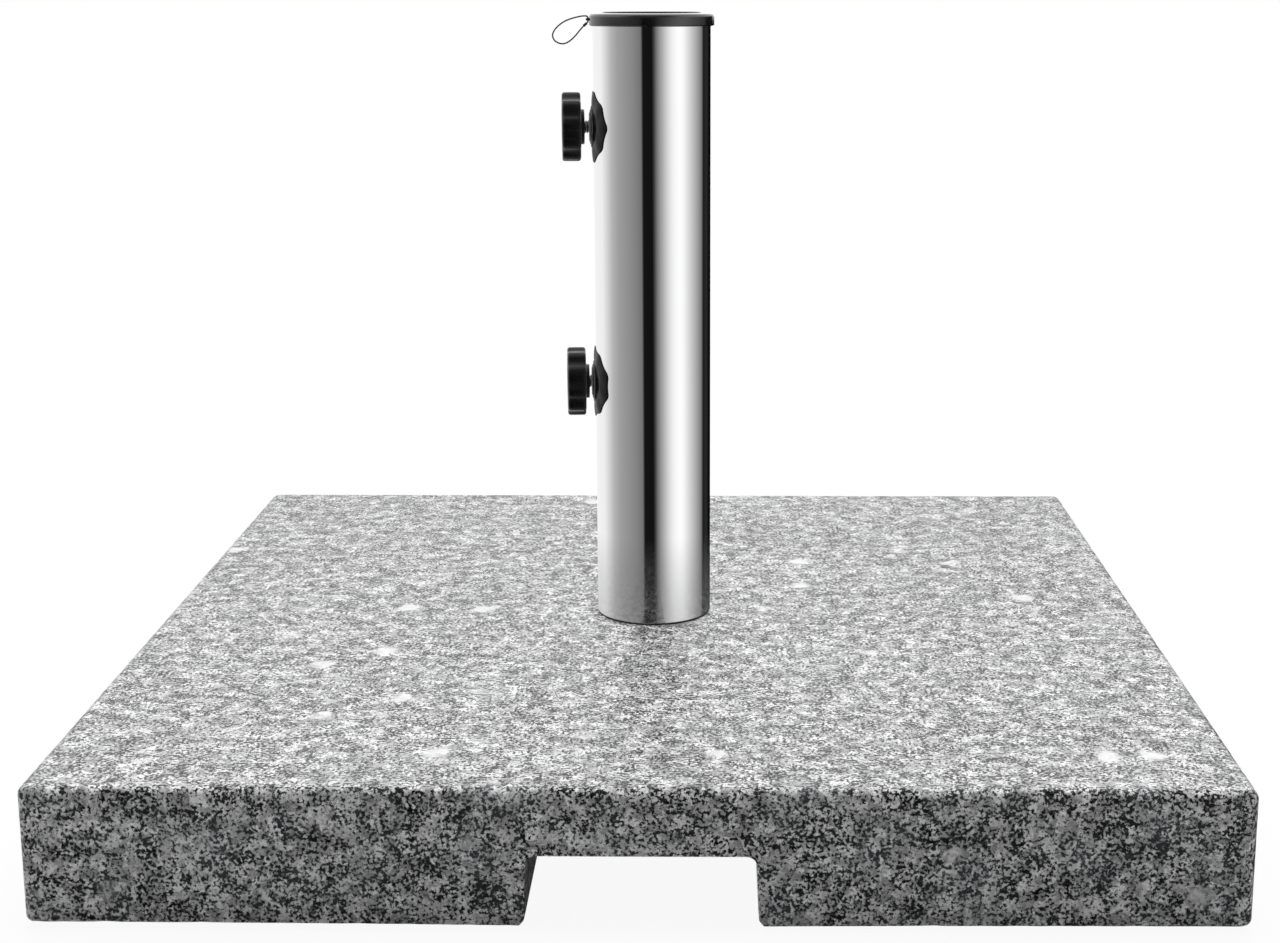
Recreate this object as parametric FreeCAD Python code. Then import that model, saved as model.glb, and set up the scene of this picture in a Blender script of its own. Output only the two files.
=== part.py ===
import FreeCAD, Part
import math
import os

# Parasol base: a square granite slab on rubber glides, a polished steel socket tube bolted to it
# from below, a reducer collar with a pull cord in the tube's mouth, and two clamping screws with
# lobed knobs.
# Frame: origin on the floor under the middle of the slab, +Z up, -Y is the front, the knobs stand
# on the -X side. The tube and what it carries are drawn with the screws along X, then turned
# about Z by tube_turn. All lengths are in millimetres.

# --- slab ---
slab_side = 450.0
slab_thick = 52.6
slab_corner_r = 4.5        # upright corners
slab_top_edge_r = 3.5
slab_bottom_edge_r = 2.5
slab_hole_r = 7.0          # for the fixing bolt

# --- underside channel, front to back; its walls lean out downwards ---
channel_height = 26.8
channel_top_w = 84.2       # width at the roof
channel_cutter_w = 86.4    # width at the cutter's base
channel_cutter_drop = 5.0  # cutter's base below the slab's underside
channel_overrun = 10.0     # cutter beyond the slab's front and back
channel_offset_x = 1.65    # the channel lies slightly to the right of the middle
channel_roof_r = 4.0
channel_lip_r = 2.8

# --- glides under the slab ---
glide_r = 15.0
glide_thick = 2.0
glide_inset = 45.0
glide_edge_r = 0.5

# --- socket tube ---
tube_r = 26.0
tube_wall = 1.5
tube_top_above_slab = 269.0
tube_turn = 5.0            # degrees, turns the knobs a little towards the front
gasket_thick = 0.8
gasket_r = 25.7
foot_disc_thick = 8.0
foot_disc_play = 0.02      # to the tube and to the bolt

# --- fixing bolt M12 x 40 and its washers ---
bolt_r = 6.0
bolt_length = 40.0
bolt_tip_r = 0.9           # rounding of the shank's end
bolt_head_h = 7.5
bolt_head_af = 18.0
bolt_head_face_r = 0.98 * bolt_head_af / 2   # cone that trims the head's corners, at its low face
bolt_head_flare = 1.9                        # that cone's growth in radius per height
washer_r = 30.0
washer_thick = 3.0
washer_play = 0.5
washer_edge_r = 0.5
spring_washer_r = 10.5
spring_washer_thick = 2.5
spring_washer_play = 0.2
spring_slot_w = 1.0
spring_slot_tilt = 25      # degrees

# --- reducer collar ---
collar_bore_r = 19.25
collar_rim_r = 27.6
collar_skirt = 1.8         # the rim's skirt hangs this far down outside the tube
collar_skirt_play = 0.1
collar_rim_h = 3.4         # rim height above the tube's end
collar_lip_h = 3.9         # raised lip round the bore, above the tube's end
collar_sleeve_len = 26.0
collar_sleeve_wall = 2.0
collar_rib_r = 24.4
collar_rib_count = 8
collar_rib_w = 1.8
collar_rib_setback = 1.0   # rib's start above the sleeve's end, and out from the bore
lug_hole_x = -27.95        # the cord runs down through a lug on the rim's -X side
lug_hole_r = 0.5
lug_outer_r = 1.0
lug_root_len = 1.6         # from the hole's axis in towards the rim
lug_bottom_above_skirt = 2.0
lug_thick = 1.2

# --- cord ---
cord_r = 0.36
cord_lug_gap = 0.2         # straight part of the cord beyond the lug's faces
crimp_r = 0.7
crimp_len = 1.9
crimp_edge_r = 0.25
crimp_place = (-29.25, 267.5)      # (x, height above the slab)
# Points on the hanging loop, from the lug's top round to its underside: (x, height above the slab)
cord_loop = [
    (-31.6, 271.0), (-36.4, 269.7), (-39.6, 268.05), (-42.3, 265.6),
    (-43.5, 263.0), (-42.6, 260.65), (-40.2, 259.35), (-37.8, 259.5),
    (-35.4, 260.95), (-33.2, 263.1), (-31.1, 265.6), (-29.6, 267.15),
]

# --- clamping screws ---
upper_screw_above_slab = 223.1
lower_screw_above_slab = 108.6
thread_r = 2.95            # M6 screw
bush_bore_r = 3.0
bush_body_r = 5.45
bush_hole_play = 0.05
bush_outer_x = 27.0
bush_inset = 0.7           # body's reach into the bore
bush_flange_r = 8.0
bush_flange_thick = 1.0
boss_face_x = 27.9
boss_face_r = 6.6
boss_base_x = 26.4
boss_base_r = 9.3
saddle_r = 16.2            # to the tips of the lobes
saddle_valley_r = 15.3
saddle_lobe_arc_r = 3.9
saddle_thick = 0.9
lobe_count = 10            # on each saddle and each knob
screw_clear_r = 3.3
hub_r = 7.7
hub_len = 1.65
knob_r = 15.4              # to the tips of the lobes
knob_valley_r = 14.2
knob_lobe_arc_r = 4.2
knob_thick = 8.2
knob_edge_r = 1.1
dish_rim_r = 9.5
dish_floor_r = 8.9
dish_depth = 0.6
upper_gap = 2.15           # hub to boss, upper screw
lower_gap = 1.10           # hub to boss, lower screw
pad_r = 7.0
pad_thick = 1.9
pad_face_r = 19.0          # hollow of the pad's inner face
upper_pad_face = 20.7      # pad's inner face from the tube's axis
neck_r = 1.95
neck_len = 1.2
pad_socket_r = 2.0
pad_socket_play = 0.1
screw_head_af = 10.0
screw_head_h = 3.6
screw_head_inset = 1.6     # head's outer face below the knob's outer face
overlap = 0.5              # how far fused solids run into each other

V = FreeCAD.Vector
X = V(1, 0, 0)
Z = V(0, 0, 1)
ORIGIN = V(0, 0, 0)

slab_half = slab_side / 2
slab_bottom = glide_thick
slab_top = slab_bottom + slab_thick
roof_z = slab_bottom + channel_height
washer_z = roof_z - washer_thick
spring_z = washer_z - spring_washer_thick
tube_bottom = slab_top + gasket_thick
tube_top = slab_top + tube_top_above_slab
bore_r = tube_r - tube_wall
flange_inner_r = bore_r - bush_flange_thick
upper_screw_z = slab_top + upper_screw_above_slab
lower_screw_z = slab_top + lower_screw_above_slab
skirt_bore_r = tube_r + collar_skirt_play
lug_bottom = tube_top - collar_skirt + lug_bottom_above_skirt
lug_top = lug_bottom + lug_thick


def upright(radius, height, z, x=0, y=0):
    """Cylinder standing on height z."""
    return Part.makeCylinder(radius, height, V(x, y, z), Z)


def centred(radius, height, z, x=0):
    """Upright cylinder with its middle at height z."""
    return upright(radius, height, z - height / 2, x)


def along_x(radius, length, x, z):
    """Cylinder lying along +X from x, at height z."""
    return Part.makeCylinder(radius, length, V(x, 0, z), X)


def ring(outer_r, inner_r, height, z):
    return upright(outer_r, height, z).cut(upright(inner_r, height, z))


def hexagon(across_flats, height, base, direction=Z):
    radius = across_flats / math.sqrt(3)
    angles = [math.radians(60 * i) for i in range(7)]
    points = [V(radius * math.cos(a), radius * math.sin(a), 0) for a in angles]
    solid = Part.Face(Part.makePolygon(points)).extrude(V(0, 0, height))
    solid.Placement = FreeCAD.Placement(base, FreeCAD.Rotation(Z, direction))
    return solid


def lobed_prism(tip_r, valley_r, lobe_r, phase_deg, x0, x1, z):
    """Convex lobes joined by tangent hollows, drawn in the YZ plane and extruded from x0 to x1."""
    half = math.pi / lobe_count
    lobe_d = tip_r - lobe_r                # distance of the lobe arcs' centres from the axis
    c = math.cos(half)
    # the hollow's radius at which it touches both its neighbours
    hollow_r = ((lobe_r ** 2 - lobe_d ** 2 - valley_r ** 2 + 2 * lobe_d * valley_r * c)
                / (2 * (valley_r - lobe_d * c - lobe_r)))
    hollow_d = valley_r + hollow_r

    def at(radius, angle):
        angle += math.radians(phase_deg)
        return V(x0, radius * math.cos(angle), z + radius * math.sin(angle))

    def joint(lobe, hollow):
        return lobe + (hollow - lobe) * (lobe_r / (lobe_r + hollow_r))

    edges = []
    for i in range(lobe_count):
        angle = 2 * half * i
        hollow = at(hollow_d, angle + half)
        start = joint(at(lobe_d, angle), at(hollow_d, angle - half))
        middle = joint(at(lobe_d, angle), hollow)
        end = joint(at(lobe_d, angle + 2 * half), hollow)
        edges.append(Part.Arc(start, at(tip_r, angle), middle).toShape())
        edges.append(Part.Arc(middle, at(valley_r, angle + half), end).toShape())
    return Part.Face(Part.Wire(edges)).extrude(V(x1 - x0, 0, 0))


def rounded(solid, radius, pick):
    return solid.makeFillet(radius, [e for e in solid.Edges if pick(e)])


def single(shape):
    """The one solid of a boolean's result, with its split faces merged."""
    return shape.removeSplitter().Solids[0]


def save(node, shape):
    shape.exportStep("parts/%s.step" % node)


def save_turned(node, shape):
    shape = shape.copy()
    shape.rotate(ORIGIN, Z, tube_turn)
    save(node, shape)


# --- slab and glides ---
def channel_cutter():
    half_top = channel_top_w / 2
    half_base = channel_cutter_w / 2
    base_z = slab_bottom - channel_cutter_drop
    corners = [(-half_base, base_z), (-half_top, roof_z), (half_top, roof_z),
               (half_base, base_z), (-half_base, base_z)]
    y = -slab_half - channel_overrun
    section = Part.Face(Part.makePolygon([V(channel_offset_x + x, y, z) for x, z in corners]))
    cutter = section.extrude(V(0, slab_side + 2 * channel_overrun, 0))
    return rounded(cutter, channel_roof_r,
                   lambda e: e.BoundBox.YLength > 100 and e.BoundBox.ZMin > roof_z - 0.1)


def granite_slab():
    slab = Part.makeBox(slab_side, slab_side, slab_thick, V(-slab_half, -slab_half, slab_bottom))
    slab = rounded(slab, slab_corner_r, lambda e: abs(e.tangentAt(e.FirstParameter).z) > 0.9)
    slab = rounded(slab, slab_top_edge_r, lambda e: e.BoundBox.ZMin > slab_top - 0.01)
    slab = rounded(slab, slab_bottom_edge_r, lambda e: e.BoundBox.ZMax < slab_bottom + 0.01)
    slab = slab.cut(channel_cutter())
    # the channel's two long lower edges
    slab = rounded(slab, channel_lip_r, lambda e: e.BoundBox.YLength > 400
                   and abs(e.BoundBox.ZMin - slab_bottom) < 0.01
                   and e.BoundBox.ZLength < 0.01 and abs(e.BoundBox.XMin) < 60)
    return single(slab.cut(upright(slab_hole_r, slab_thick, roof_z - 1)))


def floor_glides():
    offset = slab_half - glide_inset
    glides = []
    for x in (-offset, offset):
        for y in (-offset, offset):
            disc = upright(glide_r, glide_thick, 0, x, y)
            disc = rounded(disc, glide_edge_r, lambda e: abs(e.BoundBox.ZMax) < 0.01)
            glides.append(single(disc))
    return Part.makeCompound(glides)


# --- socket tube and its foot ---
def socket_tube():
    tube = ring(tube_r, bore_r, tube_top - tube_bottom, tube_bottom)
    for z in (upper_screw_z, lower_screw_z):
        tube = tube.cut(along_x(bush_body_r + bush_hole_play, 10, -30, z))
    return single(tube)


def tube_gasket():
    return single(ring(gasket_r, slab_hole_r, gasket_thick, slab_top))


def tube_foot_disc():
    return single(ring(bore_r - foot_disc_play, bolt_r + foot_disc_play,
                       foot_disc_thick, tube_bottom))


# --- fixing bolt and its washers, in the channel ---
def bearing_washer():
    washer = ring(washer_r, bolt_r + washer_play, washer_thick, washer_z)
    return single(rounded(washer, washer_edge_r, lambda e: e.BoundBox.XLength > 50))


def spring_washer():
    washer = ring(spring_washer_r, bolt_r + spring_washer_play, spring_washer_thick, spring_z)
    slot = Part.makeBox(8, spring_slot_w, 10, V(5, -spring_slot_w / 2, -5))
    slot.rotate(ORIGIN, X, spring_slot_tilt)
    slot.translate(V(0, 0, spring_z + spring_washer_thick / 2))
    return single(washer.cut(slot))


def fixing_bolt():
    base = V(0, 0, spring_z - bolt_head_h)
    trim = Part.makeCone(bolt_head_face_r, bolt_head_face_r + bolt_head_h * bolt_head_flare,
                         bolt_head_h, base)
    head = hexagon(bolt_head_af, bolt_head_h, base).common(trim)
    shank = upright(bolt_r, bolt_length, spring_z)
    shank = rounded(shank, bolt_tip_r,
                    lambda e: abs(e.BoundBox.ZMin - spring_z - bolt_length) < 0.01)
    return single(head.fuse(shank))


# --- reducer collar: sleeve with ribs, flange, skirt, raised lip and cord lug ---
def collar_body():
    sleeve_r = collar_bore_r + collar_sleeve_wall
    # (radius, height above the tube's end)
    profile = [
        (collar_bore_r, 0.8 - collar_sleeve_len),
        (collar_bore_r + 0.8, -collar_sleeve_len),
        (sleeve_r, -collar_sleeve_len),
        (sleeve_r, 0),
        (skirt_bore_r, 0),
        (skirt_bore_r, -collar_skirt),
        (collar_rim_r, -collar_skirt),
        (collar_rim_r - 0.15, collar_rim_h - 1.3),
        (collar_rim_r - 0.55, collar_rim_h - 0.5),
        (collar_rim_r - 1.3, collar_rim_h),
        (collar_bore_r + 2.4, collar_lip_h - 0.15),
        (collar_bore_r + 1.6, collar_lip_h),
        (collar_bore_r + 0.7, collar_lip_h),
        (collar_bore_r, collar_lip_h - 0.7),
    ]
    points = [V(radius, 0, tube_top + z) for radius, z in profile]
    return Part.Face(Part.makePolygon(points + points[:1])).revolve(ORIGIN, Z, 360)


def collar_rib(angle):
    start_r = collar_bore_r + collar_rib_setback
    rib = Part.makeBox(
        collar_rib_r - start_r, collar_rib_w, collar_sleeve_len - collar_rib_setback,
        V(start_r, -collar_rib_w / 2, tube_top - collar_sleeve_len + collar_rib_setback))
    rib = rib.common(upright(collar_rib_r, 60, tube_top - 50))
    rib.rotate(ORIGIN, Z, angle)
    return rib


def reducer_collar():
    collar = collar_body()
    pitch = 360.0 / collar_rib_count
    for i in range(collar_rib_count):
        collar = collar.fuse(collar_rib(pitch * (i + 0.5)))
    lug = upright(lug_outer_r, lug_thick, lug_bottom, lug_hole_x)
    lug = lug.fuse(Part.makeBox(lug_root_len, 2 * lug_outer_r, lug_thick,
                                V(lug_hole_x, -lug_outer_r, lug_bottom)))
    lug = lug.cut(centred(skirt_bore_r, 20, tube_top))
    return single(collar.fuse(lug).cut(centred(lug_hole_r, 20, tube_top, lug_hole_x)))


# --- pull cord: a closed loop through the lug, and the crimp that joins its ends ---
cord_top = V(lug_hole_x, 0, lug_top + cord_lug_gap)
cord_low = V(lug_hole_x, 0, lug_bottom - cord_lug_gap)


def cord_path():
    points = [cord_top, V(lug_hole_x - 0.85, 0, lug_top + 0.8)]
    points += [V(x, 0, slab_top + z) for x, z in cord_loop]
    points += [V(lug_hole_x - 0.4, 0, lug_bottom - 0.9), cord_low]
    path = Part.BSplineCurve()
    path.interpolate(Points=points, InitialTangent=V(0, 0, 3), FinalTangent=V(0, 0, 3),
                     Scale=False)
    return path


def pull_cord(path):
    spine = Part.Wire([path.toShape(), Part.makeLine(cord_low, cord_top)])
    sweep = Part.BRepOffsetAPI.MakePipeShell(spine)
    sweep.setBiNormalMode(V(0, 1, 0))
    sweep.add(Part.Wire(Part.makeCircle(cord_r, cord_top, Z)))
    sweep.build()
    sweep.makeSolid()
    cord = sweep.shape().Solids[0]
    # a closed sweep can come out inside out
    return cord.reversed() if cord.Volume < 0 else cord


def cord_crimp(path, cord):
    x, height = crimp_place
    place = path.parameter(V(x, 0, slab_top + height))
    direction = path.tangent(place)[0]
    start = path.value(place) - direction * (crimp_len / 2)
    crimp = Part.makeCylinder(crimp_r, crimp_len, start, direction)
    crimp = rounded(crimp, crimp_edge_r, lambda e: e.Curve.TypeId == "Part::GeomCircle")
    return single(crimp.cut(cord))


# --- clamping screws, each at height z ---
def thread_bush(z):
    """Bush in the tube's wall, its flange inside."""
    flange = along_x(bush_flange_r, 10, -28, z).common(
        ring(bore_r, flange_inner_r, 40, z - 20))
    body = along_x(bush_body_r, bush_outer_x - bore_r + bush_inset, -bush_outer_x, z)
    bush = flange.fuse(body.cut(centred(flange_inner_r, 40, z)))
    return single(bush.cut(along_x(bush_bore_r, 40, -40, z)))


def saddle(z, phase):
    """Lobed plate that hugs the tube, with a stepped boss over the bush."""
    plate = lobed_prism(saddle_r, saddle_valley_r, saddle_lobe_arc_r, phase, -34, -8, z)
    plate = plate.common(centred(tube_r + saddle_thick, 60, z))
    boss = Part.makeCone(boss_face_r, boss_base_r, boss_face_x - boss_base_x,
                         V(-boss_face_x, 0, z), X)
    boss = boss.fuse(along_x(boss_base_r, 5, -boss_base_x, z))
    body = plate.fuse(boss)
    body = body.cut(centred(tube_r, 80, z))
    body = body.cut(along_x(bush_body_r + bush_hole_play, 20, -bush_outer_x - bush_hole_play, z))
    return single(body.cut(along_x(screw_clear_r, 20, -40, z)))


def screw_head(z, head_x):
    return hexagon(screw_head_af, screw_head_h, V(-head_x, 0, z), X)


def clamp_screw(z, head_x, pad_back):
    """Hexagon head, plain shank, and a neck that snaps into the pad."""
    screw = screw_head(z, head_x).fuse(along_x(thread_r, head_x - pad_back, -head_x, z))
    return single(screw.fuse(along_x(neck_r, neck_len + overlap, -pad_back - overlap, z)))


def knob(z, knob_in, knob_out, head_x, phase):
    """Lobed disc with rounded rims, hub towards the tube, shallow dish in its outer face."""
    disc = lobed_prism(knob_r, knob_valley_r, knob_lobe_arc_r, phase, -knob_out, -knob_in, z)
    disc = rounded(disc, knob_edge_r, lambda e: e.BoundBox.XLength < 0.01)
    dish = Part.makeCone(dish_rim_r, dish_floor_r, dish_depth, V(-knob_out, 0, z), X)
    body = disc.cut(dish).fuse(along_x(hub_r, hub_len + overlap, -knob_in - overlap, z))
    body = body.cut(screw_head(z, head_x))
    return single(body.cut(along_x(thread_r, 20, -head_x + 1, z)))


def pressure_pad(z, pad_in, pad_back):
    """Pad curved like the tube behind and like the pole in front."""
    pad = along_x(pad_r, 12, -28, z)
    pad = pad.common(centred(flange_inner_r, 40, z, flange_inner_r - pad_back))
    pad = pad.cut(centred(pad_face_r, 40, z, pad_face_r - pad_in))
    socket_depth = neck_len + pad_socket_play
    return single(pad.cut(along_x(pad_socket_r, socket_depth + 5, -pad_back - 5, z)))


def save_clamp(prefix, z, gap, saddle_phase, knob_phase):
    # distances from the tube's axis towards -X
    knob_in = boss_face_x + gap + hub_len
    knob_out = knob_in + knob_thick
    head_x = knob_out - screw_head_inset
    pad_in = upper_pad_face + gap - upper_gap
    pad_back = pad_in + pad_thick

    save_turned(prefix + "_thread_bush", thread_bush(z))
    save_turned(prefix + "_saddle", saddle(z, saddle_phase))
    save_turned(prefix + "_screw", clamp_screw(z, head_x, pad_back))
    save_turned(prefix + "_knob", knob(z, knob_in, knob_out, head_x, knob_phase))
    save_turned(prefix + "_pressure_pad", pressure_pad(z, pad_in, pad_back))


os.makedirs("parts", exist_ok=True)
for make in (granite_slab, floor_glides, tube_gasket, tube_foot_disc,
             bearing_washer, spring_washer, fixing_bolt):
    save(make.__name__, make())
save_turned("socket_tube", socket_tube())
save_turned("reducer_collar", reducer_collar())
loop_path = cord_path()
loop_cord = pull_cord(loop_path)
save_turned("pull_cord", loop_cord)
save_turned("cord_crimp", cord_crimp(loop_path, loop_cord))
save_clamp("upper", upper_screw_z, upper_gap, saddle_phase=0.0, knob_phase=27.4)
save_clamp("lower", lower_screw_z, lower_gap, saddle_phase=18.0, knob_phase=9.0)
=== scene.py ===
"""A square granite base with a polished tube standing in it, a black collar in the tube's mouth
and two knob-headed clamping screws, one above the other, in the tube's side.

The tube's axis is the Z axis and the slab lies flat under it. The camera looks along +Y, so -Y is
the front; the knobs and the collar's cord are on the -X side. Shapes are worked out in
millimetres and stored in metres.
"""

import math

import bmesh
import bpy
from mathutils import Matrix, Vector, noise

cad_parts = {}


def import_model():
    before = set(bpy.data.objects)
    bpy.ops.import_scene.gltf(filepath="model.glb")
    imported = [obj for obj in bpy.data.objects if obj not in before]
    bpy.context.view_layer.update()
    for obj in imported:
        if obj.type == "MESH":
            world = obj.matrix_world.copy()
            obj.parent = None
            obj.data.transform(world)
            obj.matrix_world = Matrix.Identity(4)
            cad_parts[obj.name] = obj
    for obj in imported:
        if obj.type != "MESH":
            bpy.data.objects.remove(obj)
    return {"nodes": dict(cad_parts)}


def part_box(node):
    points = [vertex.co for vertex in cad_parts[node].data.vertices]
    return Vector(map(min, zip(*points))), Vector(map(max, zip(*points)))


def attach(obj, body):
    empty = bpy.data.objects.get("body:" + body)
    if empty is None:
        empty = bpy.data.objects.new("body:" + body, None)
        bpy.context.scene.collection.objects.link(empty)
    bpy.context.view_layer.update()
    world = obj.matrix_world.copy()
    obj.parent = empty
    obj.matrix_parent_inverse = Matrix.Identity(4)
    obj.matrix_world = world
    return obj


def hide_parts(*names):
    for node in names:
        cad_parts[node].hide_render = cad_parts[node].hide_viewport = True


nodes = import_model()["nodes"]
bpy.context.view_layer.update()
scene = bpy.context.scene
scene.view_settings.view_transform = "Standard"
MM = 0.001

# ------------------------------------------------------------ driving dimensions (mm)
tube_lo, tube_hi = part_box("socket_tube")
slab_lo, slab_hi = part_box("granite_slab")
TUBE_BOTTOM, TUBE_TOP = tube_lo.z / MM, tube_hi.z / MM
TUBE_R = round(tube_hi.x / MM, 1)
TUBE_WALL = 1.5
SLAB_BOTTOM, SLAB_TOP = slab_lo.z / MM, slab_hi.z / MM
SLAB_HALF = slab_hi.x / MM

# channel along Y under the slab
CHANNEL_X = 1.65
CHANNEL_TOP_HALF = 42.1
CHANNEL_FOOT_HALF = 42.9
CHANNEL_HEIGHT = 26.8
CHANNEL_ROOF = SLAB_BOTTOM + CHANNEL_HEIGHT
CHANNEL_LIP = 2.8  # rounding at the foot of each wall
CHANNEL_ROUND = 4.0  # rounding under the roof

# collar lug that holds the cord
LUG_X = -27.95
LUG_BOTTOM = TUBE_TOP + 0.2
LUG_TOP = TUBE_TOP + 1.4

HEAD_HEIGHT = 3.6  # screw head
POLAR_STEPS = 240  # sections round a knob or a saddle
TURN = math.radians(5.0)  # the tube stands with its knobs turned this much towards the front
Y_AXIS = Vector((0, 1, 0))


# ------------------------------------------------------------ mesh helpers
def turn(ob):
    """Pieces on the tube are modelled with the screws along X, then turned with the tube."""
    ob.data.transform(Matrix.Rotation(TURN, 4, "Z"))
    ob.data.update()


def own_box(node):
    """Box of a CAD node in the tube's own directions, before the turn."""
    matrix = Matrix.Rotation(-TURN, 4, "Z") @ nodes[node].matrix_world
    points = [matrix @ v.co for v in nodes[node].data.vertices]
    return [Vector([pick(p[i] for p in points) for i in range(3)]) for pick in (min, max)]


def new_object(name, verts, faces, smooth=True, sharp=None):
    """Mesh object from points in millimetres."""
    mesh = bpy.data.meshes.new(name)
    mesh.from_pydata([(x * MM, y * MM, z * MM) for x, y, z in verts], [], faces)
    mesh.validate(verbose=False)
    mesh.update()
    ob = bpy.data.objects.new(name, mesh)
    scene.collection.objects.link(ob)
    finish_mesh(ob, sharp, smooth)
    return ob


def finish_mesh(ob, sharp=None, smooth=True):
    """Turn the faces outwards and shade them; edges over `sharp` degrees stay crisp."""
    bm = bmesh.new()
    bm.from_mesh(ob.data)
    bmesh.ops.recalc_face_normals(bm, faces=bm.faces)
    bm.to_mesh(ob.data)
    bm.free()
    for face in ob.data.polygons:
        face.use_smooth = smooth
    if sharp is not None:
        ob.data.set_sharp_from_angle(angle=math.radians(sharp))
    ob.data.update()


def boolean(ob, tool, operation="DIFFERENCE"):
    """Cut or join with the tool object, which is then removed."""
    modifier = ob.modifiers.new("boolean", "BOOLEAN")
    modifier.operation = operation
    modifier.solver = "EXACT"
    modifier.object = tool
    bpy.context.view_layer.update()
    depsgraph = bpy.context.evaluated_depsgraph_get()
    mesh = bpy.data.meshes.new_from_object(ob.evaluated_get(depsgraph))
    ob.modifiers.clear()
    ob.data = mesh
    bpy.data.objects.remove(tool)


def ring_mesh(name, rows, closed=True, sharp=None):
    """Join rings of points in order; closed joins last to first, open caps both ends."""
    count = len(rows[0])
    last = len(rows) if closed else len(rows) - 1
    faces = []
    for i in range(last):
        a, b = i * count, ((i + 1) % len(rows)) * count
        for j in range(count):
            k = (j + 1) % count
            faces.append((a + j, a + k, b + k, b + j))
    if not closed:
        faces.append(tuple(range(count))[::-1])
        faces.append(tuple(range(last * count, len(rows) * count)))
    return new_object(name, [p for row in rows for p in row], faces, sharp=sharp)


def circle(radius, count):
    angles = [2 * math.pi * j / count for j in range(count)]
    return [(radius * math.cos(a), radius * math.sin(a)) for a in angles]


def arc(cx, cy, radius, start, end, steps):
    """Points of an arc from start to end degrees."""
    angles = [math.radians(start + (end - start) * i / steps) for i in range(steps + 1)]
    return [(cx + radius * math.cos(a), cy + radius * math.sin(a)) for a in angles]


def lathe(name, profile, segments):
    """Closed profile of (radius, z) turned about Z."""
    rows = [[(x, y, z) for x, y in circle(radius, segments)] for radius, z in profile]
    return ring_mesh(name, rows, sharp=30)


def cylinder_x(name, radius, x0, x1, z, segments):
    rows = [[(x, u, z + v) for u, v in circle(radius, segments)] for x in (x0, x1)]
    return ring_mesh(name, rows, closed=False, sharp=30)


def cylinder_z(name, radius, x, y, z0, z1, segments):
    rows = [[(x + u, y + v, z) for u, v in circle(radius, segments)] for z in (z0, z1)]
    return ring_mesh(name, rows, closed=False, sharp=30)


def box_mesh(name, lo, hi):
    (x0, y0, z0), (x1, y1, z1) = lo, hi
    verts = [(x, y, z) for z in (z0, z1) for x, y in ((x0, y0), (x1, y0), (x1, y1), (x0, y1))]
    faces = [(0, 3, 2, 1), (4, 5, 6, 7), (0, 1, 5, 4), (1, 2, 6, 5), (2, 3, 7, 6), (3, 0, 4, 7)]
    return new_object(name, verts, faces, smooth=False)


# ------------------------------------------------------------ shader helpers
class Graph:
    """Short way to write node trees; any value may be a number, a tuple or a socket."""

    def __init__(self, tree, coords="Object"):
        self.tree = tree
        self.coord = self.add("TexCoord").outputs[coords]

    def link(self, value, socket):
        if isinstance(value, (int, float)):
            socket.default_value = value
        elif isinstance(value, tuple):
            fits = len(value) == len(socket.default_value)
            socket.default_value = value if fits else (*value, 1.0)
        else:
            self.tree.links.new(value, socket)

    def set(self, node, inputs):
        for key, value in inputs.items():
            self.link(value, node.inputs[key])

    def add(self, kind, inputs={}, **properties):
        node = self.tree.nodes.new("ShaderNode" + kind)
        for key, value in properties.items():
            setattr(node, key, value)
        self.set(node, inputs)
        return node

    def stretch(self, scale):
        return self.add("Mapping", {"Scale": scale, "Vector": self.coord}).outputs[0]

    def noise(self, scale, detail=2.0, rough=0.5, src=None, out="Fac"):
        return self.add("TexNoise", {"Scale": scale, "Detail": detail, "Roughness": rough,
                                     "Vector": src or self.coord}).outputs[out]

    def math(self, operation, a, b=0.0):
        return self.add("Math", {0: a, 1: b}, operation=operation).outputs[0]

    def vector(self, operation, a, b):
        second = "Scale" if operation == "SCALE" else 1
        return self.add("VectorMath", {0: a, second: b}, operation=operation).outputs[0]

    def range(self, value, span, to=(0.0, 1.0), smooth=False):
        """Carry the span of values onto the range `to`."""
        kind = "SMOOTHSTEP" if smooth else "LINEAR"
        inputs = {"Value": value, "From Min": span[0], "From Max": span[1],
                  "To Min": to[0], "To Max": to[1]}
        return self.add("MapRange", inputs, interpolation_type=kind).outputs[0]

    def mix(self, factor, a, b):
        return self.add("Mix", {0: factor, 6: a, 7: b}, data_type="RGBA").outputs[2]

    def mix_float(self, factor, a, b):
        return self.add("Mix", {0: factor, 2: a, 3: b}, data_type="FLOAT").outputs[0]

    def mix_shader(self, factor, a, b):
        return self.add("MixShader", {0: factor, 1: a, 2: b}).outputs[0]

    def ramp(self, value, stops):
        """Grey ramp of (position, level)."""
        node = self.add("ValToRGB")
        elements = node.color_ramp.elements
        while len(elements) < len(stops):
            elements.new(0.5)
        for element, (position, level) in zip(elements, stops):
            element.position = position
            element.color = (level, level, level, 1)
        self.link(value, node.inputs[0])
        return node.outputs[0]

    def bump(self, height, strength, distance):
        return self.add("Bump", {"Strength": strength, "Distance": distance,
                                 "Height": height}).outputs[0]

    def separate(self, vector):
        return self.add("SeparateXYZ", {0: vector}).outputs

    def radius(self, at):
        """Distance from the Z axis of a separated position."""
        squares = [self.math("MULTIPLY", at[i], at[i]) for i in (0, 1)]
        return self.math("SQRT", self.math("ADD", *squares))


def new_material(name):
    mat = bpy.data.materials.new(name)
    mat.use_nodes = True
    tree = mat.node_tree
    tree.nodes.clear()
    output = tree.nodes.new("ShaderNodeOutputMaterial")
    bsdf = tree.nodes.new("ShaderNodeBsdfPrincipled")
    tree.links.new(bsdf.outputs[0], output.inputs[0])
    return mat, Graph(tree), bsdf, output


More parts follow.
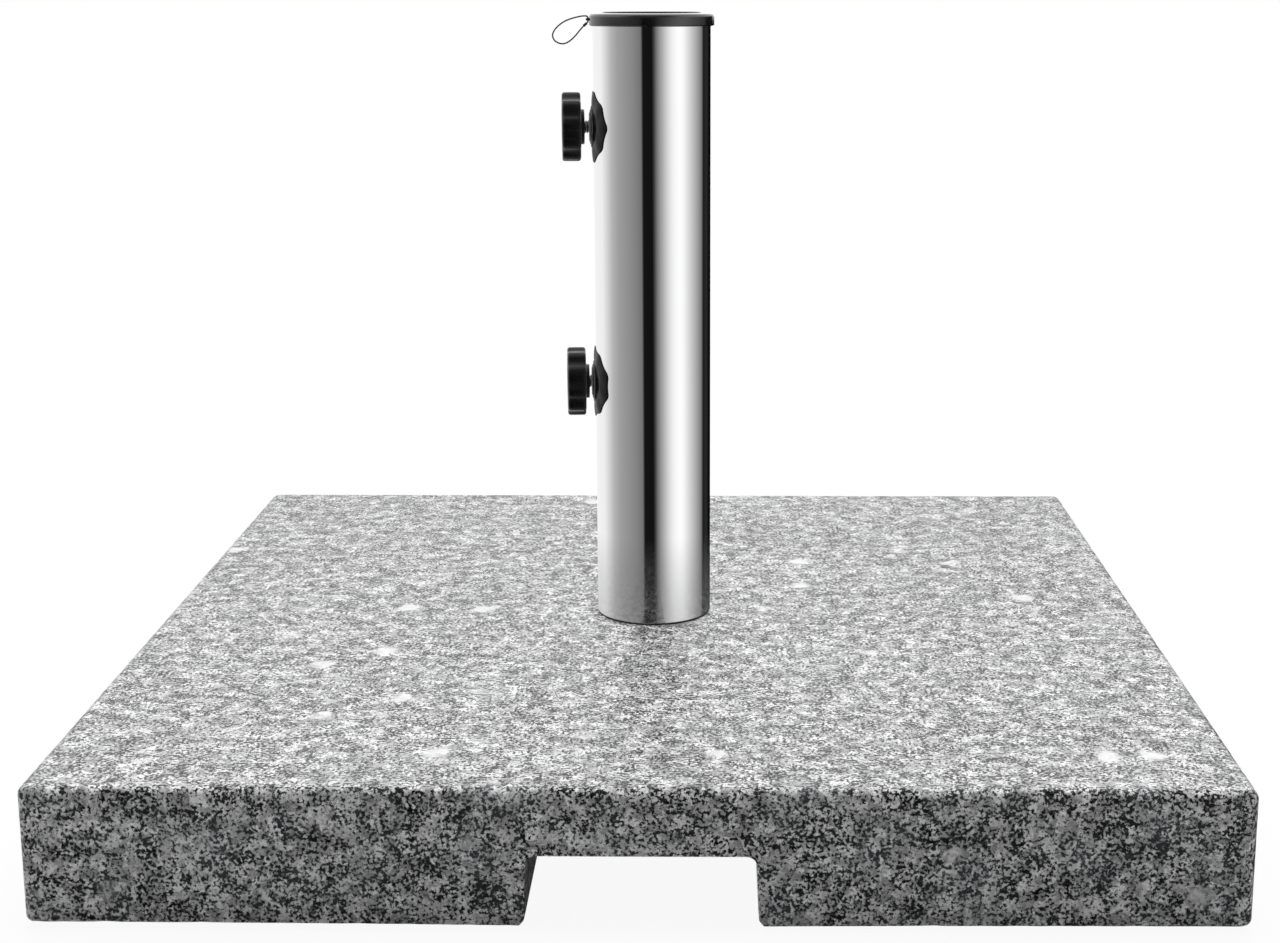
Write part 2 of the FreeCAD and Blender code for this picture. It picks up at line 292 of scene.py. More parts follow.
# ------------------------------------------------------------ materials
def granite_material():
    mat, g, bsdf, output = new_material("granite")

    def pushed(point, reach, **noise_args):
        offset = g.vector("SUBTRACT", g.noise(out="Color", **noise_args), (0.5, 0.5, 0.5))
        return g.vector("ADD", point, g.vector("SCALE", offset, reach))

    # grain boundaries wander: the lookup point is pushed about by finer noises
    point = pushed(g.coord, reach=0.0016, scale=1150.0, detail=3, rough=0.65)
    ragged_point = pushed(point, reach=0.010, scale=210.0, detail=4, rough=0.6)

    def grains(scale, channel, soft, weight):
        cells = g.add("TexVoronoi", {"Scale": scale, "Smoothness": soft, "Vector": point},
                      feature="SMOOTH_F1")
        return g.math("MULTIPLY", g.separate(cells.outputs["Color"])[channel], weight)

    # feldspar and quartz: three sizes of soft-edged grain, each with its own grey
    grain = g.math("ADD", grains(scale=335.0, channel=0, soft=0.05, weight=0.52),
                   grains(scale=790.0, channel=1, soft=0.05, weight=0.29))
    grain = g.math("ADD", grain, grains(scale=150.0, channel=2, soft=0.15, weight=0.19))
    body = g.ramp(grain, [(0.16, 0.20), (0.32, 0.31), (0.45, 0.43), (0.56, 0.56), (0.70, 0.70),
                          (0.85, 0.84)])
    milky = g.noise(scale=2200.0, detail=3, rough=0.6)
    body = g.mix(g.range(milky, span=(0.42, 0.70), to=(0.0, 0.35)), body, (0.80, 0.80, 0.80))

    # a few large white feldspars with ragged outlines
    def feldspar(out):
        return g.add("TexVoronoi", {"Scale": 48.0, "Vector": ragged_point}).outputs[out]

    distance = feldspar("Distance")
    chosen = g.math("GREATER_THAN", g.separate(feldspar("Color"))[1], 0.90)
    feldspars = g.math("MULTIPLY", chosen, g.range(distance, span=(0.34, 0.16), smooth=True))
    body = g.mix(g.math("MULTIPLY", feldspars, 0.75), body, (0.66, 0.66, 0.65))
    # grey quartz pools
    pool = g.range(g.noise(scale=75.0, detail=3, rough=0.6, src=point),
                   span=(0.60, 0.68), to=(0.0, 0.45))
    body = g.mix(pool, body, (0.20, 0.205, 0.21))

    # black mica: small flakes that gather in strings and clusters
    cluster = g.noise(scale=150.0, detail=3, rough=0.6, src=point)
    flakes = g.noise(scale=770.0, detail=4, rough=0.62, src=point)
    level = g.range(cluster, span=(0.36, 0.64), to=(0.570, 0.452))
    mica = g.range(g.math("SUBTRACT", flakes, level), span=(-0.006, 0.010))
    specks = g.range(g.noise(scale=1400.0), span=(0.63, 0.67), to=(0.0, 0.85))
    mica = g.math("MAXIMUM", mica, specks)
    outside = g.math("SUBTRACT", 1.0, g.math("MULTIPLY", feldspars, 0.95))
    mica = g.math("MULTIPLY", mica, outside)
    mica_colour = g.mix(g.range(g.noise(scale=420.0), span=(0.3, 0.8)),
                        (0.003, 0.0035, 0.004), (0.050, 0.053, 0.054))
    colour = g.mix(mica, body, mica_colour)
    # faint cool drifts
    drift = g.range(g.noise(scale=45.0), span=(0.45, 0.70), to=(0.0, 0.12))
    colour = g.mix(drift, colour, (0.33, 0.37, 0.385))

    # faces seen edge-on get painted shade, their base colour darkened towards black, and are
    # shinier up to a point
    facing = g.add("LayerWeight", {"Blend": 0.5}).outputs["Facing"]
    edge_on_painted_shade = g.range(facing, span=(0.66, 0.78), to=(0.0, 0.16), smooth=True)
    rise = g.range(facing, span=(0.15, 0.62), to=(0.0, 1.45))
    fall = g.range(facing, span=(0.64, 0.78), to=(1.45, 0.75))
    sheen = g.math("MINIMUM", rise, fall)
    height = g.math("ADD", g.math("MULTIPLY", grain, 0.3),
                    g.math("MULTIPLY", g.noise(scale=1300.0, detail=3, rough=0.6), 0.6))
    height = g.math("SUBTRACT", height, g.math("MULTIPLY", mica, 0.45))
    g.set(bsdf, {
        # painted shade: the base colour darkens where the face is seen edge-on
        "Base Color": g.mix(edge_on_painted_shade, colour, (0.0, 0.0, 0.0)),
        "Roughness": g.mix_float(mica, g.range(grain, span=(0.1, 0.9), to=(0.52, 0.42)), 0.30),
        "Specular IOR Level": g.mix_float(mica, sheen, g.math("MULTIPLY", sheen, 0.12)),
        "Normal": g.bump(height, strength=0.35, distance=0.00014),
    })

    # painted reflection: in the polished tube only nearby stone mirrors, faintly, over a
    # see-through tint that darkens what lies behind; farther stone lets the world through
    # unchanged
    path = g.add("LightPath").outputs
    mirror_span = (0.010, 0.155)
    painted_reflection_fade = g.math("MULTIPLY", path["Is Glossy Ray"],
                  g.range(path["Ray Length"], mirror_span, to=(0.84, 1.0)))
    painted_reflection_tint = g.range(path["Ray Length"], mirror_span, to=(0.714, 1.0))
    clear = g.add("BsdfTransparent", {"Color": painted_reflection_tint})
    g.link(g.mix_shader(painted_reflection_fade, bsdf.outputs[0], clear.outputs[0]), output.inputs[0])
    return mat


def polished_material():
    mat, g, bsdf, _ = new_material("polished_steel")
    smear = g.noise(scale=9.0, detail=3, rough=0.55, src=g.stretch((1.0, 1.0, 0.5)))
    streak = g.noise(scale=60.0, detail=3, rough=0.6, src=g.stretch((1.0, 1.0, 14.0)))
    fine = g.noise(scale=1500.0, src=g.stretch((1.0, 1.0, 0.06)))
    g.set(bsdf, {
        "Metallic": 1.0,
        "Base Color": g.mix(g.range(smear, span=(0.35, 0.65)),
                            (0.955, 0.955, 0.955), (0.925, 0.928, 0.935)),
        "Roughness": g.math("ADD", g.range(streak, span=(0.3, 0.7), to=(0.018, 0.034)),
                            g.range(smear, span=(0.4, 0.7), to=(0.0, 0.012))),
        "Normal": g.bump(fine, strength=0.05, distance=0.00001),
    })
    return mat


def steel_material(name, colour, rough, turned=False):
    """Blotchy steel, finely grained or with lathe rings about Z."""
    mat, g, bsdf, _ = new_material(name)
    blotch = g.noise(scale=140.0, detail=4, rough=0.6)
    darker = tuple(c * 0.72 for c in colour)
    patches = g.noise(scale=420.0, detail=3, rough=0.6)
    if turned:
        rings = g.math("MULTIPLY", g.radius(g.separate(g.coord)), 14000.0)
        normal = g.bump(g.math("SINE", rings), strength=0.15, distance=0.00004)
    else:
        grain = g.noise(scale=2400.0, detail=3, rough=0.6)
        normal = g.bump(grain, strength=0.25, distance=0.00004)
    g.set(bsdf, {
        "Metallic": 1.0,
        "Base Color": g.mix(g.range(blotch, span=(0.35, 0.7)), colour, darker),
        "Roughness": g.range(patches, span=(0.3, 0.7), to=(rough - 0.08, rough + 0.10)),
        "Normal": normal,
    })
    return mat


def plastic_material(name, colour, rough, grain=5200.0, strength=0.35, specular=0.5):
    """Moulded plastic; grain and strength are the scale and depth of its texture."""
    mat, g, bsdf, _ = new_material(name)
    tone = g.range(g.noise(scale=120.0, detail=3, rough=0.55), span=(0.4, 0.75), to=(0.0, 0.6))
    lighter = tuple(min(1.0, c * 1.7 + 0.004) for c in colour)
    patches = g.noise(scale=700.0, detail=3, rough=0.6)
    height = g.math("ADD", g.noise(scale=grain, rough=0.6),
                    g.math("MULTIPLY", g.noise(scale=900.0), 0.35))
    g.set(bsdf, {
        "Base Color": g.mix(tone, colour, lighter),
        "Roughness": g.range(patches, span=(0.3, 0.7), to=(rough - 0.05, rough + 0.08)),
        "Specular IOR Level": specular,
        "Normal": g.bump(height, strength, distance=0.000035),
    })
    return mat


def collar_material():
    """Satin moulding; the raised lip round the bore and the recessed lower edge are matt."""
    mat = plastic_material("collar_plastic", (0.0055, 0.0055, 0.0060), rough=0.14,
                           grain=4200.0, strength=0.08, specular=0.95)
    g = Graph(mat.node_tree)
    bsdf = next(node for node in mat.node_tree.nodes if node.type == "BSDF_PRINCIPLED")
    at = g.separate(g.coord)
    lip = g.range(g.radius(at), span=(0.0216, 0.0219), to=(1.0, 0.0))
    edge_span = ((TUBE_TOP - 1.84) * MM, (TUBE_TOP - 1.76) * MM)
    matt = g.math("MAXIMUM", lip, g.range(at[2], edge_span, to=(1.0, 0.0)))
    rough = bsdf.inputs["Roughness"].links[0].from_socket
    up = g.separate(g.add("NewGeometry").outputs["Normal"])[2]
    flat = g.range(up, span=(0.94, 0.985), smooth=True)  # the flat top is smoother than the side
    g.set(bsdf, {
        "Roughness": g.mix_float(matt, g.mix_float(flat, rough, 0.04), 0.85),
        "Specular IOR Level": g.mix_float(matt, 0.95, 0.0),
    })
    return mat


def cord_material():
    mat, g, bsdf, _ = new_material("cord_black")
    weave = g.noise(scale=3800.0, detail=3, rough=0.7)
    g.set(bsdf, {
        "Base Color": g.mix(g.range(weave, span=(0.35, 0.7)),
                            (0.006, 0.006, 0.006), (0.035, 0.035, 0.036)),
        "Roughness": g.range(weave, span=(0.3, 0.7), to=(0.55, 0.85)),
        "Sheen Weight": 0.25,
        "Normal": g.bump(weave, strength=0.5, distance=0.00006),
    })
    return mat


def rubber_material():
    mat, g, bsdf, _ = new_material("rubber_black")
    dust = g.noise(scale=260.0, detail=4, rough=0.65)
    grain = g.noise(scale=2600.0, detail=3, rough=0.6)
    g.set(bsdf, {
        "Base Color": g.mix(g.range(dust, span=(0.45, 0.8), to=(0.0, 0.5)),
                            (0.018, 0.018, 0.018), (0.07, 0.068, 0.064)),
        "Roughness": g.range(dust, span=(0.3, 0.7), to=(0.62, 0.82)),
        "Normal": g.bump(grain, strength=0.4, distance=0.00006),
    })
    return mat


MATERIALS = {
    "granite": granite_material(),
    "polished": polished_material(),
    "plain": steel_material("plain_steel", (0.52, 0.52, 0.53), rough=0.36, turned=True),
    "zinc": steel_material("zinc_steel", (0.66, 0.67, 0.69), rough=0.30),
    "black": plastic_material("black_plastic", (0.0042, 0.0042, 0.0045), rough=0.30,
                              specular=0.22),
    "saddle": plastic_material("saddle_plastic", (0.0040, 0.0040, 0.0042), rough=0.34,
                               specular=0.12),
    "oxide": steel_material("black_steel", (0.085, 0.085, 0.09), rough=0.28),
    "collar": collar_material(),
    "nylon": plastic_material("nylon", (0.028, 0.028, 0.030), rough=0.45),
    "cord": cord_material(),
    "rubber": rubber_material(),
}


def dress(ob, material):
    ob.data.materials.clear()
    ob.data.materials.append(MATERIALS[material])


def register(ob, material, rides, replaces):
    dress(ob, material)
    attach(ob, rides)
    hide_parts(replaces)


# ------------------------------------------------------------ granite slab
def slab_outline():
    """Cross-section (x, z), anticlockwise from the lower -X corner, round the channel."""
    slope = (CHANNEL_FOOT_HALF - CHANNEL_TOP_HALF) / CHANNEL_HEIGHT
    foot_left, foot_right = CHANNEL_X - CHANNEL_FOOT_HALF, CHANNEL_X + CHANNEL_FOOT_HALF
    top_left, top_right = CHANNEL_X - CHANNEL_TOP_HALF, CHANNEL_X + CHANNEL_TOP_HALF
    lip_z = SLAB_BOTTOM + CHANNEL_LIP
    round_z = CHANNEL_ROOF - CHANNEL_ROUND
    return [
        (-SLAB_HALF, SLAB_BOTTOM),
        *arc(foot_left - CHANNEL_LIP + 0.04, lip_z, CHANNEL_LIP, -90, -2, 6),
        *[(foot_left + slope * h, SLAB_BOTTOM + h) for h in (10, 17)],
        *arc(top_left + CHANNEL_ROUND - 0.1, round_z, CHANNEL_ROUND, 178, 90, 7),
        *[(CHANNEL_X + x, CHANNEL_ROOF) for x in (-20, 0, 20)],
        *arc(top_right - CHANNEL_ROUND + 0.1, round_z, CHANNEL_ROUND, 90, 2, 7),
        *[(foot_right - slope * h, SLAB_BOTTOM + h) for h in (17, 10)],
        *arc(foot_right + CHANNEL_LIP - 0.04, lip_z, CHANNEL_LIP, 182, 270, 6),
        (SLAB_HALF, SLAB_BOTTOM), (SLAB_HALF, SLAB_TOP), (-SLAB_HALF, SLAB_TOP),
    ]


# edges to round, picked by their two ends
def is_upright(a, b):
    return (abs(a.x) > SLAB_HALF - 0.1 and abs(b.x) > SLAB_HALF - 0.1
            and abs(a.x - b.x) < 0.1 and abs(a.y - b.y) < 0.1 and abs(a.z - b.z) > 20)


def is_top(a, b):
    return min(a.z, b.z) > SLAB_TOP - 0.01 and (a - b).length > 0.01


def is_bottom(a, b):
    along_channel = abs(a.y - b.y) > 400 and abs(a.x) < 100
    return (max(a.z, b.z) < SLAB_BOTTOM + 0.01 and max(abs(a.x), abs(b.x)) > 60
            and (a - b).length > 0.01 and not along_channel)


def is_channel_mouth(a, b):
    reach = CHANNEL_FOOT_HALF + CHANNEL_LIP + 1
    return a.y * b.y > 0 and all(
        abs(abs(p.y) - SLAB_HALF) < 0.01 and abs(p.x - CHANNEL_X) < reach
        and SLAB_BOTTOM + 0.3 < p.z < CHANNEL_ROOF + 0.1 for p in (a, b))


def bevel_slab(bm):
    for pick, width, segments in ((is_upright, 4.5, 6), (is_top, 3.5, 6), (is_bottom, 2.4, 5),
                                  (is_channel_mouth, 1.3, 3)):
        edges = [e for e in bm.edges if pick(*[v.co / MM for v in e.verts])]
        bmesh.ops.bevel(bm, geom=edges, offset=width * MM, segments=segments, profile=0.5,
                        affect="EDGES", clamp_overlap=False, miter_outer="SHARP")


def slice_slab(bm):
    """Even cuts along all three axes give the stone vertices to move."""
    step = 3.6
    spans = ((-SLAB_HALF, SLAB_HALF), (-SLAB_HALF, SLAB_HALF), (SLAB_BOTTOM, SLAB_TOP))
    for axis, (lo, hi) in enumerate(spans):
        count = int((hi - lo) / step)
        normal = Vector([1.0 if i == axis else 0.0 for i in range(3)])
        for i in range(1, count):
            place = (lo + (hi - lo) * i / count) * MM
            bmesh.ops.bisect_plane(bm, geom=bm.verts[:] + bm.edges[:] + bm.faces[:],
                                   plane_co=normal * place, plane_no=normal, dist=1e-7)
    bmesh.ops.triangulate(bm, faces=[f for f in bm.faces if len(f.verts) > 4])


def roughen_slab(bm):
    """Dressed stone is never quite true."""
    for v in bm.verts:
        p = v.co / MM
        depth_y = SLAB_HALF - abs(p.y)
        depths = (SLAB_HALF - abs(p.x), depth_y, min(SLAB_TOP - p.z, p.z - SLAB_BOTTOM))
        second = sorted(max(depth, 0) for depth in depths)[1]
        near = max(0.0, 1.0 - second / 4.5)  # 1 on an arris, 0 beyond 4.5 mm from it
        amount = 0.05 * noise.noise(p / 55.0)  # slow waviness
        # small bruises and wear along the arrises
        chip = noise.noise(p / 5.5) + 0.5 * noise.noise(p / 2.6 + Vector((9, 2, 5)))
        amount -= near * 0.55 * max(0.0, chip - 0.16)
        amount -= near * 0.10 * (0.5 + 0.5 * noise.noise(p / 12.0))
        # saw lines in the channel, 9 mm apart
        if (abs(p.x - CHANNEL_X) < CHANNEL_FOOT_HALF + 0.5
                and SLAB_BOTTOM + 4 < p.z < CHANNEL_ROOF + 0.2 and depth_y > 2):
            amount += 0.10 * math.sin(p.y * 2 * math.pi / 9.0 + 1.5 * noise.noise(p / 30.0))
        v.co += v.normal * amount * MM


def make_slab():
    outline = slab_outline()
    count = len(outline)
    verts = [(x, y, z) for y in (-SLAB_HALF, SLAB_HALF) for x, z in outline]
    faces = [tuple(range(count)), tuple(range(2 * count - 1, count - 1, -1))]
    for i in range(count):
        j = (i + 1) % count
        faces.append((j, i, count + i, count + j))
    ob = new_object("granite_slab_stone", verts, faces, smooth=False)

    bm = bmesh.new()
    bm.from_mesh(ob.data)
    bevel_slab(bm)
    slice_slab(bm)
    bmesh.ops.recalc_face_normals(bm, faces=bm.faces)
    bm.normal_update()
    roughen_slab(bm)
    bm.to_mesh(ob.data)
    bm.free()
    # bolt hole
    boolean(ob, cylinder_z("cut", 7.0, 0, 0, CHANNEL_ROOF - 3, SLAB_TOP + 3, 48))
    finish_mesh(ob, sharp=40)
    register(ob, "granite", "base", "granite_slab")


# ------------------------------------------------------------ socket tube
def make_tube(screw_heights):
    bore_r = TUBE_R - TUBE_WALL
    edge = 0.25  # rounding of the four rims
    upper, lower = screw_heights
    heights = sorted([upper - 9, upper + 9, lower - 9, lower + 9, (upper + lower) / 2,
                      *[TUBE_BOTTOM + h for h in (0.3, 0.6, 2, 30)],
                      *[TUBE_TOP - h for h in (22, 2, 0.6, 0.3)]])
    profile = [
        *arc(TUBE_R - edge, TUBE_BOTTOM + edge, edge, -90, 0, 3),
        *[(TUBE_R, z) for z in heights],
        *arc(TUBE_R - edge, TUBE_TOP - edge, edge, 0, 90, 3),
        *arc(bore_r + edge, TUBE_TOP - edge, edge, 90, 180, 3),
        *[(bore_r, z) for z in reversed(heights)],
        *arc(bore_r + edge, TUBE_BOTTOM + edge, edge, 180, 270, 3),
    ]
    ob = lathe("socket_tube_skin", profile, 256)
    for z in screw_heights:
        boolean(ob, cylinder_x("cut", 5.5, -32, -20, z, 64))
    finish_mesh(ob, sharp=30)
    turn(ob)
    register(ob, "polished", "base", "socket_tube")
    ob.visible_shadow = False  # the stone in front of the tube stays as bright as the rest


# ------------------------------------------------------------ reducer collar
def collar_profile():
    """(radius, z) of the sleeve inside the tube and the cap over its mouth."""
    top, bore = TUBE_TOP, 19.25
    sleeve = bore + 2.0
    return [
        (bore, top - 25.2), *arc(bore + 0.8, top - 25.2, 0.8, 180, 270, 4),
        *arc(sleeve - 0.3, top - 25.7, 0.3, 270, 360, 3),
        (sleeve, top - 12), (sleeve, top - 0.4), *arc(sleeve + 0.4, top - 0.4, 0.4, 180, 90, 3),
        (24.3, top), (TUBE_R + 0.1, top), (TUBE_R + 0.1, top - 1.95), (TUBE_R + 0.2, top - 2.05),
        (26.85, top - 2.05), (26.95, top - 1.95), (26.98, top - 1.80),
        *arc(27.6 - 0.3, top - 1.5, 0.3, 270, 360, 4),
        (27.58, top - 0.9), (27.57, top - 0.2), (27.55, top + 0.5), (27.52, top + 1.2),
        *arc(27.48 - 1.35, top + 1.85, 1.35, 0, 72, 9),
        (25.6, top + 3.30), (24.4, top + 3.42), (23.2, top + 3.53), (22.1, top + 3.62),
        (21.75, top + 3.66), (21.6, top + 3.74), (21.4, top + 3.84), (21.15, top + 3.89),
        (20.9, top + 3.9), (20.4, top + 3.9),
        *arc(bore + 0.85, top + 3.05, 0.85, 90, 180, 6),
        (bore, top - 4), (bore, top - 15),
    ]


def collar_lug():
    """Small pad on the collar's -X side, with eased ends."""
    def ring(z, scale):
        return [(LUG_X + (1.0 if x < 0 else 1.2) * scale * x, scale * y, z)
                for x, y in circle(1.0, 48)]

    ends = ((0, 0.86), (0.12, 0.96), (0.3, 1.0))  # distance from the end, scale
    rows = [ring(LUG_BOTTOM + inset, scale) for inset, scale in ends]
    rows += [ring(LUG_TOP - inset, scale) for inset, scale in reversed(ends)]
    return ring_mesh("lug", rows, closed=False, sharp=40)


def collar_rib(angle):
    rib = box_mesh("rib", (20.2, -0.9, TUBE_TOP - 25.0), (24.38, 0.9, TUBE_TOP))
    outer_x = 0.022  # metres; vertices beyond this are on the outer face
    bm = bmesh.new()
    bm.from_mesh(rib.data)
    for v in bm.verts:  # the ribs' lower ends are led in
        if v.co.z < (TUBE_TOP - 20) * MM and v.co.x > outer_x:
            v.co.x -= 0.0012
    edges = [e for e in bm.edges if e.verts[0].co.x > outer_x and e.verts[1].co.x > outer_x]
    bmesh.ops.bevel(bm, geom=edges, offset=0.0003, segments=2, profile=0.5, affect="EDGES")
    bmesh.ops.rotate(bm, verts=bm.verts, cent=(0, 0, 0), matrix=Matrix.Rotation(angle, 3, "Z"))
    bm.to_mesh(rib.data)
    bm.free()
    return rib


def make_collar():
    ob = lathe("reducer_collar_body", collar_profile(), 192)
    boolean(ob, collar_lug(), "UNION")
    for i in range(8):
        boolean(ob, collar_rib(math.radians(22.5 + 45 * i)), "UNION")
    # cord hole
    boolean(ob, cylinder_z("cut", 0.5, LUG_X, 0, TUBE_TOP - 4, TUBE_TOP + 6, 32))
    finish_mesh(ob, sharp=32)
    turn(ob)
    register(ob, "collar", "collar", "reducer_collar")


# ------------------------------------------------------------ cord and crimp
def closed_spline(points, steps):
    """Catmull-Rom curve through a closed loop of points."""
    curve = []
    for i in range(len(points)):
        p0, p1, p2, p3 = (Vector(points[(i + k - 1) % len(points)]) for k in range(4))
        for step in range(steps):
            t = step / steps
            curve.append(0.5 * ((2 * p1) + (p2 - p0) * t + (2 * p0 - 5 * p1 + 4 * p2 - p3) * t * t
                                + (3 * p1 - p0 - 3 * p2 + p3) * t ** 3))
    return curve


def cord_path():
    """Loop in the XZ plane: up through the lug, outwards, and back underneath."""
    # (x, height over the slab's top)
    outer = [(-31.6, 271.0), (-36.4, 269.7), (-39.6, 268.05), (-42.3, 265.6), (-43.5, 263.0),
             (-42.6, 260.65), (-40.2, 259.35), (-37.8, 259.5), (-35.4, 260.95), (-33.2, 263.1),
             (-31.1, 265.6), (-29.6, 267.15)]
    points = [(LUG_X, LUG_BOTTOM - 0.25), (LUG_X, LUG_BOTTOM + 0.5), (LUG_X, LUG_TOP - 0.4),
              (LUG_X, LUG_TOP + 0.2), (LUG_X - 0.85, LUG_TOP + 0.8),
              *[(x, SLAB_TOP + height) for x, height in outer],
              (LUG_X - 0.4, LUG_BOTTOM - 0.9)]
    return closed_spline([(x, 0.0, z) for x, z in points], 18)


def make_cord(path):
    count = len(path)
    lengths = [(path[(i + 1) % count] - path[i]).length for i in range(count)]
    total = sum(lengths)
    twist = 2 * math.pi * round(total / 0.62) / total  # one turn about every 0.62 mm

    def radius(distance, angle):
        strands = abs(math.sin(1.5 * angle - twist * distance * 0.75))
        return 0.300 + 0.030 * strands + 0.010 * math.sin(9 * angle + 3 * twist * distance)

    rows = []
    distance = 0.0
    for i, p in enumerate(path):
        tangent = (path[(i + 1) % count] - path[i - 1]).normalized()
        side = tangent.cross(Y_AXIS).normalized()
        angles = [2 * math.pi * j / 24 for j in range(24)]
        rows.append([tuple(p + (side * math.cos(a) + Y_AXIS * math.sin(a)) * radius(distance, a))
                     for a in angles])
        distance += lengths[i]
    ob = ring_mesh("pull_cord_rope", rows)
    turn(ob)
    register(ob, "cord", "cord", "pull_cord")


# crimp section: (place along the cord, radius)
CRIMP_PROFILE = [
    (-0.95, 0.30), (-0.95, 0.46), (-0.90, 0.55), (-0.76, 0.61), (-0.45, 0.61), (-0.2, 0.55),
    (0.0, 0.52), (0.2, 0.55), (0.45, 0.61), (0.76, 0.61), (0.90, 0.55), (0.95, 0.46),
    (0.95, 0.30), (0.0, 0.30),
]


def make_crimp(path):
    """Ferrule on the cord at the point, below the tube's top, nearest the CAD crimp."""
    lo, hi = own_box("cord_crimp")
    centre = (lo + hi) / 2 / MM
    nearest = min(range(len(path)), key=lambda i: (path[i] - centre).length
                  if path[i].z < TUBE_TOP else 1e9)
    p = path[nearest]
    along = (path[(nearest + 2) % len(path)] - path[nearest - 2]).normalized()
    side = along.cross(Y_AXIS).normalized()
    rows = []
    for place, radius in CRIMP_PROFILE:
        squeeze = 1.0 - 0.10 * max(0.0, 1 - abs(place) / 0.5)
        rows.append([tuple(p + along * place + side * u + Y_AXIS * (squeeze * v))
                     for u, v in circle(radius, 40)])
    ob = ring_mesh("cord_crimp_ferrule", rows, sharp=50)
    turn(ob)
    register(ob, "black", "cord", "cord_crimp")


# ------------------------------------------------------------ knobs, saddles and screws
# Each is built about an axis along X at height z. Depths are distances out from the tube's
# axis towards -X.
def lobed_radius(angle, tip, valley, lobe_r, phase, count=10):
    """Outline of convex lobes joined by tangent hollows; angles in radians."""
    half = math.pi / count
    lobe_d = tip - lobe_r  # distance of the lobes' centres
    c = math.cos(half)
    hollow_r = ((lobe_r ** 2 - lobe_d ** 2 - valley ** 2 + 2 * lobe_d * valley * c)
                / (2 * (valley - lobe_d * c - lobe_r)))
    hollow_d = valley + hollow_r
    angle = (angle - phase) % (2 * half)
    if angle > half:
        angle = 2 * half - angle
    share = lobe_r / (lobe_r + hollow_r)
    tangent_x = lobe_d + (hollow_d * c - lobe_d) * share
    tangent_y = hollow_d * math.sin(half) * share
    if angle <= math.atan2(tangent_y, tangent_x):
        root = max(0.0, lobe_r ** 2 - (lobe_d * math.sin(angle)) ** 2)
        return lobe_d * math.cos(angle) + math.sqrt(root)
    angle = half - angle
    root = max(0.0, hollow_r ** 2 - (hollow_d * math.sin(angle)) ** 2)
    return hollow_d * math.cos(angle) - math.sqrt(root)


def polar_rows(section):
    """Rings across the radial sections that section(angle) gives."""
    return list(zip(*[section(2 * math.pi * j / POLAR_STEPS) for j in range(POLAR_STEPS)]))


def make_knob(prefix, z, outer, hub_end, phase):
    rim_inner = hub_end + 1.65
    edge = 1.1  # rounding of the rim

    def section(angle):
        rim = lobed_radius(angle, tip=15.4, valley=14.2, lobe_r=4.2, phase=phase)
        mid = (outer + rim_inner) / 2
        # (radius, depth)
        profile = [
            # outer face: centre button, dish, crowned rim
            (0.02, outer - 0.55), (3.6, outer - 0.55), (4.2, outer - 0.62), (4.5, outer - 0.78),
            (4.8, outer - 0.85), (8.6, outer - 0.80), (9.1, outer - 0.62), (9.5, outer - 0.22),
            (10.1, outer - 0.06), (11.6, outer),
            *arc(rim - edge, outer - edge, edge, 84, 0, 6),
            (rim + 0.02, mid + 1.2), (rim + 0.03, mid), (rim + 0.02, mid - 1.2),
            *arc(rim - edge, rim_inner + edge, edge, 0, -84, 6),
            # inner face and hub
            (12.0, rim_inner), (9.4, rim_inner + 0.12),
            *arc(7.7 + 0.45, rim_inner - 0.33, 0.45, 90, 180, 3), (7.7, hub_end + 0.45),
            *arc(7.7 - 0.4, hub_end + 0.4, 0.4, 0, -90, 4),
            (5.2, hub_end), (3.3, hub_end), (3.0, hub_end + 0.3), (3.0, hub_end + 1.2),
            (0.02, hub_end + 1.2),
        ]
        return [(-depth, r * math.cos(angle), z + r * math.sin(angle)) for r, depth in profile]

    ob = ring_mesh(prefix + "_knob_grip", polar_rows(section), closed=False, sharp=35)
    bm = bmesh.new()
    bm.from_mesh(ob.data)
    bmesh.ops.remove_doubles(bm, verts=bm.verts, dist=2e-6)
    bmesh.ops.recalc_face_normals(bm, faces=bm.faces)
    bm.to_mesh(ob.data)
    bm.free()
    finish_mesh(ob, sharp=35)
    turn(ob)
    register(ob, "black", prefix + "_handle", prefix + "_knob")


# saddle face as (radius, depth): rim of the bore, then three terraces down to the plate
SADDLE_RIM = [(3.3, 27.05), (3.3, 27.72), (3.5, 27.88), (3.8, 27.9), (5.0, 27.9)]
SADDLE_TERRACES = [
    (6.05, 27.9), (6.28, 27.87), (6.40, 27.78), (6.44, 27.62), (6.50, 27.56), (7.35, 27.54),
    (7.55, 27.51), (7.66, 27.42), (7.70, 27.26), (7.78, 27.21), (8.75, 27.18), (8.95, 27.14),
    (9.06, 27.05), (9.12, 26.92), (9.45, 26.86),
]
SADDLE_FLOOR = 27.05  # depth of the boss face and the pocket's floor


